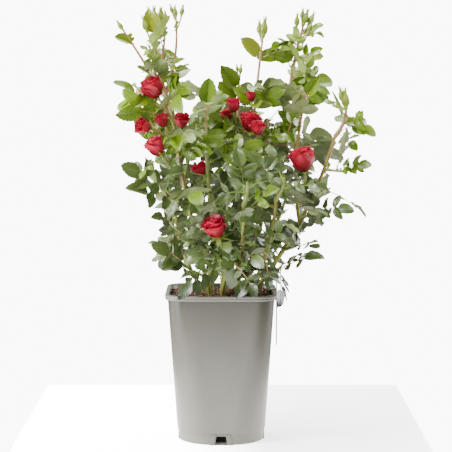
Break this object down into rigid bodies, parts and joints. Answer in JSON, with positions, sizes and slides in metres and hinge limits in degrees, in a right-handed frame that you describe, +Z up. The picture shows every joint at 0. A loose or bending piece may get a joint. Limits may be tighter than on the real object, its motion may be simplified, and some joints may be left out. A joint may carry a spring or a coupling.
{
  "type": "potted rose bush",
  "caption": "Young rose bush with upright canes, leafy shoots and red double blooms, growing in a tall rounded-square plastic pot.",
  "frame": {"origin": "middle of the pot's flat underside, on the surface it stands on", "axes": "+Z up, +X to the right and +Y away from the front that the picture shows"},
  "size_m": [0.422, 0.4101, 0.7124],
  "materials": {
    "pot": "moulded, satin",
    "compost": "crumbly, matt",
    "card": "thin plain card",
    "bark": "smooth young bark with thorns",
    "foliage": "glossy above, pale and matt below",
    "blossom": "velvety petals"
  },
  "bodies": {
    "root": {"pot": "pot", "soil": "compost", "label": "card", "short_stem": "bark", "cane_left": "bark", "cane_mid_left": "bark", "cane_centre": "bark", "cane_back_right": "bark", "cane_right": "bark", "cane_front": "bark", "cane_back_left": "bark", "cane_back": "bark", "cane_front_right": "bark", "cane_back_outer": "bark", "cane_left_outer": "bark", "cane_right_inner": "bark", "left_crown": "foliage", "left_high_bloom": "blossom", "left_blooms": "blossom", "left_back_bloom": "blossom", "left_low_bloom": "blossom", "left_inner": "foliage", "left_arm": "foliage", "left_low": "foliage", "left_foot": "foliage", "left_outer": "foliage", "left_outer_foot": "foliage", "mid_left_bloom": "blossom", "mid_left_spire": "foliage", "mid_left_front": "foliage", "front_bloom": "blossom", "centre_crown": "foliage", "centre_spire_sprays": "foliage", "centre_spire_left_sprays": "foliage", "centre_low": "foliage", "centre_foot": "foliage", "back_right_crown": "foliage", "back_right_mid": "foliage", "back_right_low_sprays": "foliage", "right_inner_crown": "foliage", "right_inner_mid": "foliage", "right_bloom": "blossom", "right_crown": "foliage", "right_arm": "foliage", "right_mid": "foliage", "right_low": "foliage", "right_foot": "foliage", "right_inner_low_sprays": "foliage", "front_crown": "foliage", "front_low": "foliage", "front_right_crown": "foliage", "front_right_low_sprays": "foliage", "back_left_crown": "foliage", "back_left_low_sprays": "foliage", "back_crown": "foliage", "back_low": "foliage", "back_outer_crown": "foliage", "back_outer_foot": "foliage"}
  },
  "joints": []
}
